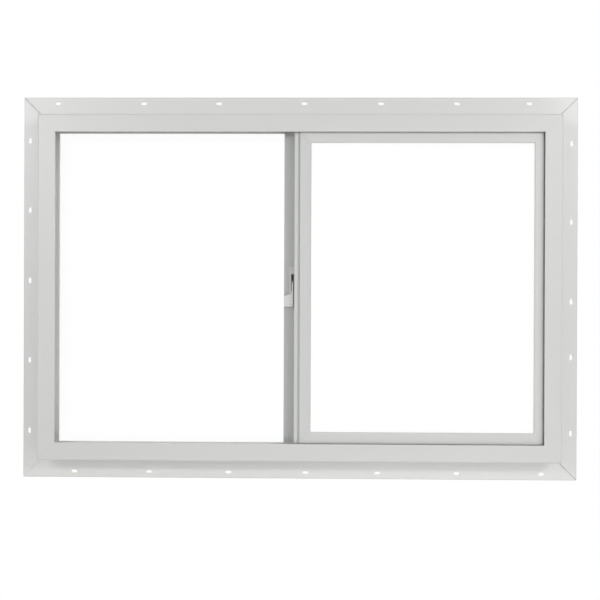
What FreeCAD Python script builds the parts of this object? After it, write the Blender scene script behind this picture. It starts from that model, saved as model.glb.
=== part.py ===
"""Horizontal sliding window in white vinyl with a nail fin all round.

The left half is fixed glass. The sash on the right slides left along the sill's rail, and a slide
latch on its meeting stile locks it. Millimetres, X along the window, Y from the room to the
outside, Z up. The origin is on the sill's nail fin, on the face that bears on the wall.
Depths are measured from the frame's room face, towards the outside.
"""
import FreeCAD, Part
import math
import os

Vector = FreeCAD.Vector

# Frame: four mitred lengths of one hollow section, each with its own nail fin
FRAME_WIDTH = 901.7
FRAME_HEIGHT = 596.9
FRAME_DEPTH = 83.0
FRAME_WALL = 1.8
FRAME_WEBS = 4
BASE_HEIGHT = 8.0
LIP_HEIGHT = 30.5
LIP_DEPTH = 3.0
STOP_HEIGHT = 27.0
STOP_DEPTH = 2.5
OUTER_LIP_HEIGHT = 17.0
OUTER_LIP_DEPTH = 4.0
FRAME_EDGE_ROUND = 3.0
LIP_EDGE_ROUND = 0.5
FIN_SETBACK = 48.0
FIN_WIDTH = 38.0
FIN_THICKNESS = 1.8

# Nail slots: centres along each side, from the middle of the window
SLOT_LENGTH = 10.0
SLOT_WIDTH = 5.0
SLOT_FROM_EDGE = 10.5
HEAD_SLOTS = (-429, -276, -143, 8, 143, 277, 404)
SILL_SLOTS = (-398, -265, -124, 12, 139, 279, 427)
LEFT_JAMB_SLOTS = (-254, -129, 12, 137, 260)
RIGHT_JAMB_SLOTS = (-254, -120, -22, 118, 256)
SLOT_CORNER_ROOM = 30.0

# Rail that the sash runs on, and the weep slots through the sill's outer wall
RAIL_WIDTH = 3.0
RAIL_HEIGHT = 6.0
WEEP_LENGTH = 28.0
WEEP_WIDTH = 3.4
WEEP_SPACING = 560.0

# Glass: two panes and a spacer bar, bedded on foam tape
PANE_THICKNESS = 3.0
FIXED_AIR_GAP = 10.0
SASH_AIR_GAP = 8.0
FIXED_TAPE = 1.5
SASH_TAPE = 1.0
TAPE_SETBACK = 1.0
SPACER_HEIGHT = 5.0
SPACER_SETBACK = 4.0
FIXED_BLOCK_HEIGHT = 4.0
FIXED_BLOCK_LENGTH = 80.0
SASH_BLOCK_HEIGHT = 2.0
SASH_BLOCK_LENGTH = 60.0

# Beads that hold the glass from outside, each lower than the leg that the glass lies behind
FIXED_BEAD_DEPTH = 9.5
FIXED_BEAD_CREST = 12.0
FIXED_BEAD_DROP = 5.0
SASH_BEAD_CREST = 4.0
SASH_BEAD_DROP = 3.5
BEAD_LAND = 1.8
BEAD_GAP = 0.3

# Fixed meeting stile, behind the sash's meeting stile
STILE_LEFT = -24.0
STILE_RIGHT = 11.0
STILE_POCKET = 8.0
STILE_WALL = 2.0
STILE_GLASS_CLEARANCE = 1.0
COPE_CLEARANCE = 0.3

# Sash: four mitred lengths of one section, the meeting stile with a flange, a pull and a hook
SASH_DEPTH = 27.5
SASH_CLEARANCE = 5.0
SASH_MEMBER = 29.1
SASH_BOX = 17.0
SASH_WALL = 1.8
SASH_LEG_DEPTH = 3.0
SASH_BEVEL = 1.6
SASH_EDGE_ROUND = 0.8
REBATE_DEPTH = 6.0
HEAD_REVEAL = -0.5
SILL_REVEAL = 0.2
JAMB_REVEAL = 0.9
SASH_LEFT = -7.9
SASH_IN_HEAD = 11.4
SASH_IN_SILL = 9.3
SASH_IN_JAMB = 13.0
FLANGE_WIDTH = 18.1
FLANGE_SETBACK = 17.0
FLANGE_THICKNESS = 4.0
PULL_WIDTH = 6.0
PULL_HEIGHT = 3.0
PULL_ROUND = 1.4
PULL_END_ROOM = 5.0
GROOVE_WIDTH = 3.4
GROOVE_DEPTH = 2.6

# Hooks that lock the two meeting stiles together when the sash is shut
HOOK_WALL = 1.2
HOOK_REACH = 6.5
HOOK_RISE = 3.7
HOOK_FROM_BACK = 0.7
HOOK_GAP = 1.5
HOOK_END_ROOM = 8.0

# Pile strips on the sash's outer face, and the nylon glides on the rail
PILE_WIDTH = 4.5
PILE_SETBACK = 1.0
RUNNING_GAP = 0.3
GLIDE_LENGTH = 45.0
GLIDE_WIDTH = 10.0
GLIDE_FROM_CORNER = 60.0
GLIDE_CHEEK = 4.0

# Latch: a housing on the flange and a thumb slide that is pushed up to open
HOUSING_WIDTH = 9.0
HOUSING_HEIGHT = 66.0
HOUSING_THICKNESS = 2.0
HOUSING_ROUND = 2.0
HOUSING_RIGHT = -8.5
HOUSING_TOP = 37.0
LATCH_SLOT_LEFT = -13.5
LATCH_SLOT_RIGHT = -8.9
LATCH_SLOT_BOTTOM = -5.0
LATCH_SLOT_TOP = 24.0
SLIDE_RIGHT = -10.0
SLIDE_TOP = 11.5
SLIDE_BOTTOM = -32.0
SLIDE_DEPTH = 7.0
STEM_WIDTH = 2.2
STEM_FLARE = 1.4
THUMB_WIDTH = 15.4
THUMB_HEIGHT = 17.4
THUMB_SLOPE = 3.4
THUMB_SHOULDER = 8.6
THUMB_ROUND = 1.0
THUMB_GROOVES = 3
THUMB_GROOVE_PITCH = 4.4
THUMB_GROOVE_RADIUS = 1.0
NECK_WIDTH = 2.4
NECK_HEIGHT = 14.0
KEEPER_WIDTH = 7.0
KEEPER_THICKNESS = 1.8
CATCH_LENGTH = 4.0
CATCH_HEIGHT = 8.0
STRIKE_WIDTH = 5.0
STRIKE_HEIGHT = 30.0

# How far a cut reaches past what it cuts, and how near two points are one
CUT_OVERSHOOT = 1.0
SAME_POINT = 1e-6

# Places along the window
FRAME_LEFT = -FRAME_WIDTH / 2
FRAME_RIGHT = FRAME_WIDTH / 2
FRAME_BOTTOM = FIN_WIDTH / 2
FRAME_TOP = FRAME_BOTTOM + FRAME_HEIGHT
MIDDLE = FRAME_BOTTOM + FRAME_HEIGHT / 2
SASH_RIGHT = FRAME_RIGHT - LIP_HEIGHT + SASH_IN_JAMB
SASH_TOP = FRAME_TOP - LIP_HEIGHT + SASH_IN_HEAD
SASH_BOTTOM = FRAME_BOTTOM + LIP_HEIGHT - SASH_IN_SILL

# Depths from the room face
SASH_FRONT = LIP_DEPTH + SASH_CLEARANCE
SASH_BACK = SASH_FRONT + SASH_DEPTH
SASH_MIDDLE = SASH_FRONT + SASH_DEPTH / 2
STOP_FRONT = SASH_BACK + SASH_CLEARANCE
STOP_BACK = STOP_FRONT + STOP_DEPTH
FIXED_GLASS_FRONT = STOP_BACK + FIXED_TAPE
FIXED_GLASS_BACK = FIXED_GLASS_FRONT + 2 * PANE_THICKNESS + FIXED_AIR_GAP
SASH_LEG_BACK = SASH_FRONT + SASH_LEG_DEPTH
SASH_GLASS_FRONT = SASH_LEG_BACK + SASH_TAPE
SASH_GLASS_BACK = SASH_GLASS_FRONT + 2 * PANE_THICKNESS + SASH_AIR_GAP
FLANGE_FRONT = SASH_FRONT + FLANGE_SETBACK
FLANGE_BACK = FLANGE_FRONT + FLANGE_THICKNESS
HOUSING_FRONT = FLANGE_FRONT - HOUSING_THICKNESS

# The way inward from each side of a rectangle
OUTWARD_FACE = Vector(0, 1, 0)
INWARD = {"sill": Vector(0, 0, 1), "head": Vector(0, 0, -1),
          "left": Vector(1, 0, 0), "right": Vector(-1, 0, 0)}


def outline(corners, point):
    """Closed wire through (a, b, radius) corners, with a tangent arc where a corner has a radius."""
    edges = []
    joints = []
    for index, (a, b, radius) in enumerate(corners):
        here = Vector(a, b, 0)
        back = (Vector(*corners[index - 1][:2], 0) - here).normalize()
        ahead = (Vector(*corners[(index + 1) % len(corners)][:2], 0) - here).normalize()
        half = back.getAngle(ahead) / 2
        reach = radius / math.tan(half)
        crown = here
        if radius:
            crown = here + (back + ahead).normalize() * (radius / math.sin(half) - radius)
        joints.append((here + back * reach, crown, here + ahead * reach))
    for index, (enter, crown, leave) in enumerate(joints):
        enter, crown, leave = (point(p.x, p.y) for p in (enter, crown, leave))
        if corners[index][2]:
            edges.append(Part.Arc(enter, crown, leave).toShape())
        following = joints[(index + 1) % len(joints)][0]
        target = point(following.x, following.y)
        if leave.distanceToPoint(target) > SAME_POINT:
            edges.append(Part.LineSegment(leave, target).toShape())
    return Part.Wire(edges)


def section(corners, chambers=()):
    """Cross-section face across X, from (height inward, depth, radius) corners and chamber boxes."""
    def point(height, depth):
        return Vector(0, depth - FIN_SETBACK, height)

    wires = [outline(corners, point)]
    for low, high, front, back in chambers:
        wires.append(outline([(low, front, 0), (high, front, 0), (high, back, 0), (low, back, 0)], point))
    return Part.makeFace(wires, "Part::FaceMakerBullseye")


def plate(corners, front, back):
    """Prism between two depths, from (x, z, radius) corners seen from the room."""
    wire = outline(corners, lambda x, z: Vector(x, front - FIN_SETBACK, z))
    return Part.Face(wire).extrude(Vector(0, back - front, 0))


def box(left, right, front, back, bottom, top):
    """Plain block between places along X, depths and heights."""
    corner = Vector(left, front - FIN_SETBACK, bottom)
    return Part.makeBox(right - left, back - front, top - bottom, corner)


def ring(outer, inner, front, back):
    """Flat rectangular ring between two depths, from (left, right, bottom, top) edges."""
    body = box(outer[0], outer[1], front, back, outer[2], outer[3])
    hole = box(inner[0], inner[1], front - CUT_OVERSHOOT, back + CUT_OVERSHOOT, inner[2], inner[3])
    return body.cut(hole)


def shrunk(edges, amount):
    """(left, right, bottom, top) edges moved inward by an amount."""
    left, right, bottom, top = edges
    return left + amount, right - amount, bottom + amount, top - amount


def obround(x, z, length, width, front, back):
    """Slot with round ends along X, between two depths."""
    half_run = (length - width) / 2
    block = box(x - half_run, x + half_run, front, back, z - width / 2, z + width / 2)
    for end in (x - half_run, x + half_run):
        base = Vector(end, front - FIN_SETBACK, z)
        block = block.fuse(Part.makeCylinder(width / 2, back - front, base, Vector(0, 1, 0)))
    return block.removeSplitter()


def length_of(face, side, edge, first, last, inner, outer=0.0, mitres=(True, True)):
    """One side of a rectangle: a section run from first to last and mitred at its ends.

    edge is where the section's zero height lies, inner and outer are how far the section reaches
    from there, and mitres says which of the two ends are cut at 45 degrees.
    """
    inward = INWARD[side]
    along = OUTWARD_FACE.cross(inward)
    way = along.x + along.z
    ends = sorted(((way * first, mitres[0]), (way * last, mitres[1])))
    (low, low_mitred), (high, high_mitred) = ends
    bar = face.copy()
    bar.translate(Vector(low - outer, 0, 0))
    bar = bar.extrude(Vector(high - low + 2 * outer, 0, 0))
    low_slope = 1 if low_mitred else 0
    high_slope = 1 if high_mitred else 0
    wedge = plate([(low - outer * low_slope, -outer, 0), (high + outer * high_slope, -outer, 0),
                   (high - inner * high_slope, inner, 0), (low + inner * low_slope, inner, 0)],
                  -FRAME_DEPTH, 2 * FRAME_DEPTH)
    bar = bar.common(wedge)
    place = Vector(edge * abs(inward.x), 0, edge * abs(inward.z))
    turn = FreeCAD.Rotation(along, OUTWARD_FACE, inward, "ZYX")
    bar.Placement = FreeCAD.Placement(place, turn).multiply(bar.Placement)
    return bar


def frame_corners(rail):
    """Outline of the frame's section, with the sash's rail on the channel floor of the sill."""
    outer_lip_front = FRAME_DEPTH - OUTER_LIP_DEPTH
    rail_corners = []
    if rail:
        front = SASH_MIDDLE - RAIL_WIDTH / 2
        top = BASE_HEIGHT + RAIL_HEIGHT
        tip = RAIL_WIDTH / 4
        rail_corners = [(BASE_HEIGHT, front, 0), (top, front, tip),
                        (top, front + RAIL_WIDTH, tip), (BASE_HEIGHT, front + RAIL_WIDTH, 0)]
    return [(0, 0, FRAME_EDGE_ROUND), (LIP_HEIGHT, 0, LIP_EDGE_ROUND),
            (LIP_HEIGHT, LIP_DEPTH, LIP_EDGE_ROUND), (BASE_HEIGHT, LIP_DEPTH, 0), *rail_corners,
            (BASE_HEIGHT, STOP_FRONT, 0), (STOP_HEIGHT, STOP_FRONT, STOP_DEPTH / 4),
            (STOP_HEIGHT, STOP_BACK, STOP_DEPTH / 4), (BASE_HEIGHT, STOP_BACK, 0),
            (BASE_HEIGHT, outer_lip_front, 0), (OUTER_LIP_HEIGHT, outer_lip_front, LIP_EDGE_ROUND),
            (OUTER_LIP_HEIGHT, FRAME_DEPTH, LIP_EDGE_ROUND), (0, FRAME_DEPTH, LIP_EDGE_ROUND),
            (0, FIN_SETBACK + FIN_THICKNESS, 0), (-FIN_WIDTH, FIN_SETBACK + FIN_THICKNESS, 0),
            (-FIN_WIDTH, FIN_SETBACK, 0), (0, FIN_SETBACK, 0)]


def frame_chambers():
    """Hollows of the frame's section: a row of equal ones along its base."""
    pitch = (FRAME_DEPTH - FRAME_WALL) / FRAME_WEBS
    chambers = []
    for index in range(FRAME_WEBS):
        front = FRAME_WALL + index * pitch
        chambers.append((FRAME_WALL, BASE_HEIGHT - FRAME_WALL, front, front + pitch - FRAME_WALL))
    return chambers


def nail_slots(side, edge, centre, places, half_length):
    """Slots through the fin of one side, those that keep clear of the mitred corners."""
    inward = INWARD[side].x + INWARD[side].z
    line = edge + (SLOT_FROM_EDGE - FIN_WIDTH) * inward
    slots = []
    for place in places:
        if abs(place) > half_length + FIN_WIDTH - SLOT_CORNER_ROOM:
            continue
        slot = obround(0, 0, SLOT_LENGTH, SLOT_WIDTH, FIN_SETBACK - CUT_OVERSHOOT,
                       FIN_SETBACK + FIN_THICKNESS + CUT_OVERSHOOT)
        if side in ("sill", "head"):
            slot.translate(Vector(centre + place, 0, line))
        else:
            slot.rotate(Vector(0, 0, 0), Vector(0, 1, 0), 90)
            slot.translate(Vector(line, 0, centre + place))
        slots.append(slot)
    return slots


def frame_member(side):
    """Head, sill or jamb: the hollow section, mitred through its lip and its fin, with its slots."""
    edges = {"sill": FRAME_BOTTOM, "head": FRAME_TOP, "left": FRAME_LEFT, "right": FRAME_RIGHT}
    places = {"sill": SILL_SLOTS, "head": HEAD_SLOTS,
              "left": LEFT_JAMB_SLOTS, "right": RIGHT_JAMB_SLOTS}
    level = side in ("sill", "head")
    first, last = (FRAME_LEFT, FRAME_RIGHT) if level else (FRAME_BOTTOM, FRAME_TOP)
    face = section(frame_corners(side == "sill"), frame_chambers())
    member = length_of(face, side, edges[side], first, last, LIP_HEIGHT, FIN_WIDTH)
    centre = (first + last) / 2
    slots = nail_slots(side, edges[side], centre, places[side], (last - first) / 2)
    member = member.cut(slots)
    if side == "sill":
        member = member.cut(weep_slots())
    return member


def weep_slots():
    """Two slots that drain the sill's last chamber through its outer wall."""
    height = FRAME_BOTTOM + BASE_HEIGHT / 2
    return [obround(way * WEEP_SPACING / 2, height, WEEP_LENGTH, WEEP_WIDTH,
                    FRAME_DEPTH - FRAME_WALL - CUT_OVERSHOOT, FRAME_DEPTH + CUT_OVERSHOOT) for way in (-1, 1)]


def fixed_meeting_stile():
    """Upright that carries the fixed glass's right edge and hooks the shut sash."""
    pocket_wall = STILE_LEFT + STILE_POCKET
    back = FIXED_GLASS_BACK + STILE_WALL
    hook_left = SASH_LEFT + HOOK_WALL + HOOK_GAP
    hook_leg = SASH_LEFT + HOOK_REACH + HOOK_GAP
    hook_front = SASH_BACK + HOOK_FROM_BACK
    post = plate_level([(STILE_LEFT, STOP_FRONT), (STILE_RIGHT, STOP_FRONT), (STILE_RIGHT, back),
                        (STILE_LEFT, back), (STILE_LEFT, FIXED_GLASS_BACK), (pocket_wall, FIXED_GLASS_BACK),
                        (pocket_wall, STOP_BACK), (STILE_LEFT, STOP_BACK)],
                       FRAME_BOTTOM + BASE_HEIGHT, FRAME_TOP - BASE_HEIGHT)
    hollow = box(pocket_wall + STILE_WALL, STILE_RIGHT - STILE_WALL, STOP_BACK, FIXED_GLASS_BACK,
                 FRAME_BOTTOM, FRAME_TOP)
    strike_left = (LATCH_SLOT_LEFT + LATCH_SLOT_RIGHT - STRIKE_WIDTH) / 2
    cut_front = STOP_FRONT - CUT_OVERSHOOT
    strike = box(strike_left, strike_left + STRIKE_WIDTH, cut_front, STOP_BACK + CUT_OVERSHOOT,
                 MIDDLE + LATCH_SLOT_BOTTOM, MIDDLE + LATCH_SLOT_BOTTOM + STRIKE_HEIGHT)
    cope = (STILE_LEFT - CUT_OVERSHOOT, STILE_RIGHT + CUT_OVERSHOOT, cut_front, STOP_BACK + COPE_CLEARANCE)
    cope_height = STOP_HEIGHT + COPE_CLEARANCE
    sill_cope = box(*cope, FRAME_BOTTOM, FRAME_BOTTOM + cope_height)
    head_cope = box(*cope, FRAME_TOP - cope_height, FRAME_TOP)
    hook = plate_level([(hook_leg, STOP_FRONT), (hook_leg, hook_front + HOOK_WALL),
                        (hook_left, hook_front + HOOK_WALL), (hook_left, hook_front),
                        (hook_leg + HOOK_WALL, hook_front), (hook_leg + HOOK_WALL, STOP_FRONT)],
                       FRAME_BOTTOM + LIP_HEIGHT + HOOK_END_ROOM, FRAME_TOP - LIP_HEIGHT - HOOK_END_ROOM)
    return post.cut([hollow, strike, sill_cope, head_cope]).fuse(hook).removeSplitter()


def plate_level(corners, bottom, top):
    """Upright prism from (x, depth) corners seen from above."""
    points = [Vector(x, depth - FIN_SETBACK, bottom) for x, depth in corners]
    return Part.Face(Part.makePolygon(points + points[:1])).extrude(Vector(0, 0, top - bottom))


def glass_unit(prefix, edges, sight, front, air_gap):
    """Inner pane, outer pane and spacer ring of a sealed unit, named with a prefix."""
    inner_back = front + PANE_THICKNESS
    outer_front = inner_back + air_gap
    spacer = shrunk(edges, max(sight - SPACER_SETBACK - SPACER_HEIGHT, 0))
    left, right, bottom, top = edges
    outer_back = outer_front + PANE_THICKNESS
    return {f"{prefix}_glass_inner": box(left, right, front, inner_back, bottom, top),
            f"{prefix}_glass_outer": box(left, right, outer_front, outer_back, bottom, top),
            f"{prefix}_glass_spacer": ring(spacer, shrunk(spacer, SPACER_HEIGHT), inner_back, outer_front)}


def setting_blocks(edges, bottom, front, back, length):
    """Two blocks under a glass unit, a quarter of its width from each end."""
    left, right, glass_bottom, _ = edges
    quarter = (right - left) / 4
    blocks = [box(centre - length / 2, centre + length / 2, front, back, bottom, glass_bottom)
              for centre in (left + quarter, right - quarter)]
    return Part.makeCompound(blocks)


def bead_section(foot, height, front, back, crest):
    """Glazing bead: upright on the glass side, sloped from its sight line to its crest outside."""
    return section([(foot, front, 0), (height, front, 0), (height, front + BEAD_LAND, BEAD_LAND / 3),
                    (crest, back, BEAD_LAND / 3), (foot, back, 0)])


def fixed_lite():
    """Fixed glass with its tape, its blocks and its beads on the head, sill and jamb."""
    edge = BASE_HEIGHT + FIXED_BLOCK_HEIGHT
    right = STILE_LEFT + STILE_POCKET - STILE_GLASS_CLEARANCE
    edges = (FRAME_LEFT + edge, right, FRAME_BOTTOM + edge, FRAME_TOP - edge)
    sight = (FRAME_LEFT + STOP_HEIGHT - TAPE_SETBACK, STILE_LEFT + TAPE_SETBACK,
             FRAME_BOTTOM + STOP_HEIGHT - TAPE_SETBACK, FRAME_TOP - STOP_HEIGHT + TAPE_SETBACK)
    nodes = glass_unit("fixed", edges, right - STILE_LEFT, FIXED_GLASS_FRONT, FIXED_AIR_GAP)
    nodes["fixed_glazing_tape"] = ring(edges, sight, STOP_BACK, FIXED_GLASS_FRONT)
    nodes["fixed_setting_blocks"] = setting_blocks(edges, FRAME_BOTTOM + BASE_HEIGHT, FIXED_GLASS_FRONT,
                                                   FIXED_GLASS_BACK, FIXED_BLOCK_LENGTH)
    reach = STOP_HEIGHT - FIXED_BEAD_DROP
    face = bead_section(BASE_HEIGHT, reach, FIXED_GLASS_BACK + BEAD_GAP, FIXED_GLASS_BACK + FIXED_BEAD_DEPTH,
                        FIXED_BEAD_CREST)
    level = (FRAME_LEFT, STILE_LEFT, reach, 0, (True, False))
    nodes["fixed_bead_head"] = length_of(face, "head", FRAME_TOP, *level)
    nodes["fixed_bead_sill"] = length_of(face, "sill", FRAME_BOTTOM, *level)
    nodes["fixed_bead_jamb"] = length_of(face, "left", FRAME_LEFT, FRAME_BOTTOM, FRAME_TOP, reach)
    return nodes


def sash_corners():
    """Outline of the plain sash section: a box and the leg that the glass lies behind."""
    return [(0, SASH_FRONT, SASH_EDGE_ROUND), *sash_leg_corners(), (SASH_BOX, SASH_BACK, SASH_EDGE_ROUND),
            (0, SASH_BACK, SASH_EDGE_ROUND)]


def sash_leg_corners():
    """The room-side leg of the sash section, bevelled towards the glass."""
    return [(SASH_MEMBER - SASH_BEVEL, SASH_FRONT, 0), (SASH_MEMBER, SASH_FRONT + SASH_BEVEL, 0),
            (SASH_MEMBER, SASH_LEG_BACK, 0), (SASH_BOX, SASH_LEG_BACK, 0)]


def meeting_corners():
    """Outline of the meeting stile's section: pull ridge, groove, leg, box and hook."""
    pull_front = SASH_FRONT - PULL_HEIGHT
    groove_bottom = SASH_FRONT + GROOVE_DEPTH
    groove_end = PULL_WIDTH + GROOVE_WIDTH
    hook_back = SASH_BACK + HOOK_RISE
    return [(0, pull_front, PULL_ROUND), (PULL_WIDTH, pull_front, PULL_ROUND),
            (PULL_WIDTH, groove_bottom, 0), (groove_end, groove_bottom, 0),
            (groove_end, SASH_FRONT, SASH_EDGE_ROUND), *sash_leg_corners(),
            (SASH_BOX, SASH_BACK, SASH_EDGE_ROUND), (HOOK_WALL, SASH_BACK, 0),
            (HOOK_WALL, hook_back - HOOK_WALL, 0), (HOOK_REACH, hook_back - HOOK_WALL, 0),
            (HOOK_REACH, hook_back, 0), (0, hook_back, 0)]


def sash_members():
    """Top rail, bottom rail, jamb stile and meeting stile, mitred at 45 degrees and rebated."""
    chamber_front = SASH_FRONT + REBATE_DEPTH + SASH_WALL
    chamber = (SASH_WALL, SASH_BOX - SASH_WALL, chamber_front, SASH_BACK - SASH_WALL)
    plain = section(sash_corners(), [chamber])
    meeting = section(meeting_corners(), [chamber])
    level = (SASH_LEFT, SASH_RIGHT, SASH_MEMBER)
    upright = (SASH_BOTTOM, SASH_TOP, SASH_MEMBER)
    stile = length_of(meeting, "left", SASH_LEFT, *upright)
    flange = box(SASH_LEFT - FLANGE_WIDTH, SASH_LEFT, FLANGE_FRONT, FLANGE_BACK, SASH_BOTTOM, SASH_TOP)
    stile = stile.fuse(flange).removeSplitter().cut(latch_slot(FLANGE_FRONT, FLANGE_BACK))
    members = {"sash_top_rail": length_of(plain, "head", SASH_TOP, *level),
               "sash_bottom_rail": length_of(plain, "sill", SASH_BOTTOM, *level),
               "sash_jamb_stile": length_of(plain, "right", SASH_RIGHT, *upright),
               "sash_meeting_stile": stile.cut(stile_ends())}
    rebate = sash_rebate()
    return {name: member.cut(rebate) for name, member in members.items()}


def sash_rebate():
    """Step round the sash's room face, where it runs behind the frame's lip on three sides."""
    outer = (SASH_LEFT - CUT_OVERSHOOT, SASH_RIGHT + CUT_OVERSHOOT,
             SASH_BOTTOM - CUT_OVERSHOOT, SASH_TOP + CUT_OVERSHOOT)
    face = (SASH_LEFT - 2 * CUT_OVERSHOOT, FRAME_RIGHT - LIP_HEIGHT - JAMB_REVEAL,
            FRAME_BOTTOM + LIP_HEIGHT + SILL_REVEAL, FRAME_TOP - LIP_HEIGHT - HEAD_REVEAL)
    return ring(outer, face, SASH_FRONT - PULL_HEIGHT - CUT_OVERSHOOT, SASH_FRONT + REBATE_DEPTH)


def stile_ends():
    """Ends of the meeting stile's pull and hook, cut away to clear the frame's lip and stop."""
    pull = (SASH_LEFT + PULL_WIDTH, SASH_FRONT - PULL_HEIGHT - CUT_OVERSHOOT, SASH_FRONT, PULL_END_ROOM)
    hook = (SASH_LEFT + HOOK_REACH, SASH_BACK, SASH_BACK + HOOK_RISE + CUT_OVERSHOOT, HOOK_END_ROOM)
    ends = []
    for right, front, back, room in (pull, hook):
        sides = (SASH_LEFT - CUT_OVERSHOOT, right + CUT_OVERSHOOT)
        inset = LIP_HEIGHT + room
        ends.append(box(*sides, front, back, SASH_BOTTOM - CUT_OVERSHOOT, FRAME_BOTTOM + inset))
        ends.append(box(*sides, front, back, FRAME_TOP - inset, SASH_TOP + CUT_OVERSHOOT))
    return ends


def sash_glazing():
    """Sash glass with its tape, its blocks and four mitred beads."""
    outer = (SASH_LEFT, SASH_RIGHT, SASH_BOTTOM, SASH_TOP)
    edge = SASH_BOX + SASH_BLOCK_HEIGHT
    edges = shrunk(outer, edge)
    nodes = glass_unit("sash", edges, SASH_MEMBER - edge, SASH_GLASS_FRONT, SASH_AIR_GAP)
    tape_inner = shrunk(outer, SASH_MEMBER - TAPE_SETBACK)
    nodes["sash_glazing_tape"] = ring(edges, tape_inner, SASH_LEG_BACK, SASH_GLASS_FRONT)
    nodes["sash_setting_blocks"] = setting_blocks(edges, SASH_BOTTOM + SASH_BOX, SASH_GLASS_FRONT,
                                                  SASH_GLASS_BACK, SASH_BLOCK_LENGTH)
    reach = SASH_MEMBER - SASH_BEAD_DROP
    face = bead_section(SASH_BOX, reach, SASH_GLASS_BACK + BEAD_GAP, SASH_BACK, SASH_BOX + SASH_BEAD_CREST)
    level = (SASH_LEFT, SASH_RIGHT, reach)
    upright = (SASH_BOTTOM, SASH_TOP, reach)
    nodes["sash_bead_top"] = length_of(face, "head", SASH_TOP, *level)
    nodes["sash_bead_bottom"] = length_of(face, "sill", SASH_BOTTOM, *level)
    nodes["sash_bead_jamb"] = length_of(face, "right", SASH_RIGHT, *upright)
    nodes["sash_bead_meeting"] = length_of(face, "left", SASH_LEFT, *upright)
    return nodes


def sash_seals():
    """Pile strips that brush the frame's stop on three sides of the sash."""
    face = section([(PILE_SETBACK, SASH_BACK, 0), (PILE_SETBACK + PILE_WIDTH, SASH_BACK, 0),
                    (PILE_SETBACK + PILE_WIDTH, STOP_FRONT - RUNNING_GAP, 0),
                    (PILE_SETBACK, STOP_FRONT - RUNNING_GAP, 0)])
    reach = PILE_SETBACK + PILE_WIDTH
    level = (SASH_LEFT + SASH_BOX, SASH_RIGHT, reach, 0, (False, True))
    return {"sash_pile_top": length_of(face, "head", SASH_TOP, *level),
            "sash_pile_bottom": length_of(face, "sill", SASH_BOTTOM, *level),
            "sash_pile_jamb": length_of(face, "right", SASH_RIGHT, SASH_BOTTOM, SASH_TOP, reach)}


def sash_glide(centre):
    """Nylon block under the bottom rail, with a cheek on each side of the sill's rail."""
    rail_top = FRAME_BOTTOM + BASE_HEIGHT + RAIL_HEIGHT
    groove = RAIL_WIDTH + 2 * RUNNING_GAP
    block = box(centre - GLIDE_LENGTH / 2, centre + GLIDE_LENGTH / 2, SASH_MIDDLE - GLIDE_WIDTH / 2,
                SASH_MIDDLE + GLIDE_WIDTH / 2, rail_top - GLIDE_CHEEK, SASH_BOTTOM)
    slot = box(centre - GLIDE_LENGTH, centre + GLIDE_LENGTH, SASH_MIDDLE - groove / 2,
               SASH_MIDDLE + groove / 2, rail_top - 2 * GLIDE_CHEEK, rail_top + RUNNING_GAP)
    return block.cut(slot)


def latch_slot(front, back):
    """Slot for the latch's neck, cut between two depths."""
    round_end = (LATCH_SLOT_RIGHT - LATCH_SLOT_LEFT) / 4
    bottom = MIDDLE + LATCH_SLOT_BOTTOM
    top = MIDDLE + LATCH_SLOT_TOP
    return plate([(LATCH_SLOT_LEFT, bottom, round_end), (LATCH_SLOT_RIGHT, bottom, round_end),
                  (LATCH_SLOT_RIGHT, top, round_end), (LATCH_SLOT_LEFT, top, round_end)],
                 front - CUT_OVERSHOOT, back + CUT_OVERSHOOT)


def latch_housing():
    """Flat housing on the meeting stile's flange, open along the latch's slot."""
    left = HOUSING_RIGHT - HOUSING_WIDTH
    top = MIDDLE + HOUSING_TOP
    bottom = top - HOUSING_HEIGHT
    body = plate([(left, bottom, HOUSING_ROUND), (HOUSING_RIGHT, bottom, 0), (HOUSING_RIGHT, top, 0),
                  (left, top, HOUSING_ROUND)], HOUSING_FRONT, FLANGE_FRONT)
    return body.cut(latch_slot(HOUSING_FRONT, FLANGE_FRONT))


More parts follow.
